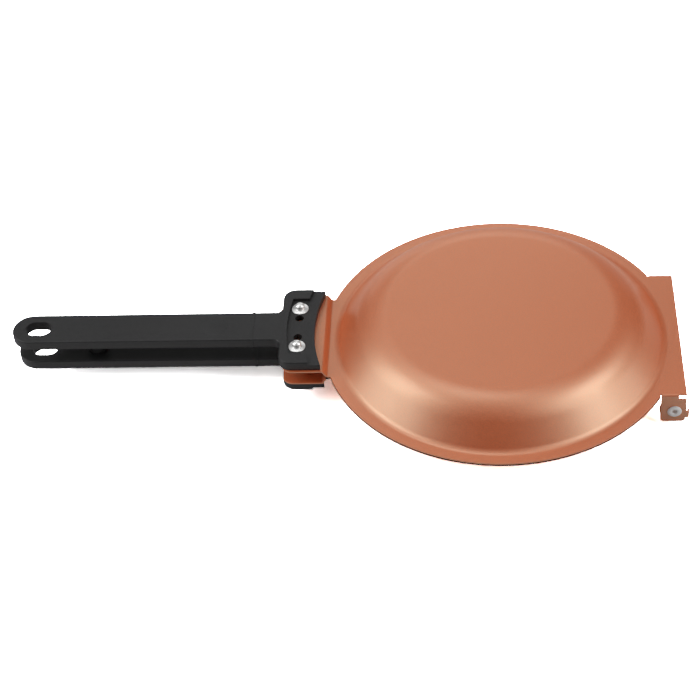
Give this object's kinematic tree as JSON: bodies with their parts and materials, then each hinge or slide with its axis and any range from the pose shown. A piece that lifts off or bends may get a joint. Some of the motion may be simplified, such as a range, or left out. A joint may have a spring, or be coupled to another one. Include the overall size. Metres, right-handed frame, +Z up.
{
  "type": "double sided flip pan",
  "caption": "Round flip pan of pressed copper-coloured dishes, hinged at one side and closed rim to rim, with a long moulded handle on each dish.",
  "frame": {"origin": "centre of the lower dish floor, on its outer face, where the closed pan stands", "axes": "+X from the handles towards the hinge, +Y to the rear, +Z up through the closing plane"},
  "size_m": [0.3815, 0.2, 0.0419],
  "materials": {
    "copper_coat": "satin metallic copper coating",
    "handle_plastic": "satin moulded, near black",
    "zinc_steel": "bright zinc plate",
    "rivet_steel": "pale satin plate",
    "magnet_nickel": "nickel plate"
  },
  "bodies": {
    "lower_half": {"lower_pan": "copper_coat", "lower_handle": "handle_plastic", "lower_bolt_front": "zinc_steel", "lower_lock_washer_front": "zinc_steel", "lower_nut_front": "zinc_steel", "lower_bolt_rear": "zinc_steel", "lower_lock_washer_rear": "zinc_steel", "lower_nut_rear": "zinc_steel", "lower_magnet": "magnet_nickel", "lower_magnet_cover": "handle_plastic", "hinge_rivet_front": "rivet_steel", "hinge_spacer_front": "zinc_steel", "hinge_rivet_rear": "rivet_steel", "hinge_spacer_rear": "zinc_steel"},
    "upper_half": {"upper_pan": "copper_coat", "upper_handle": "handle_plastic", "upper_bolt_front": "zinc_steel", "upper_lock_washer_front": "zinc_steel", "upper_nut_front": "zinc_steel", "upper_bolt_rear": "zinc_steel", "upper_lock_washer_rear": "zinc_steel", "upper_nut_rear": "zinc_steel", "upper_magnet": "magnet_nickel", "upper_magnet_cover": "handle_plastic"}
  },
  "joints": [
    {"name": "pan_hinge", "type": "hinge", "parent": "lower_half", "child": "upper_half", "pos_m": [0.0948, 0, 0.01], "axis": [0, 1, 0], "range_deg": [0, 100]}
  ]
}
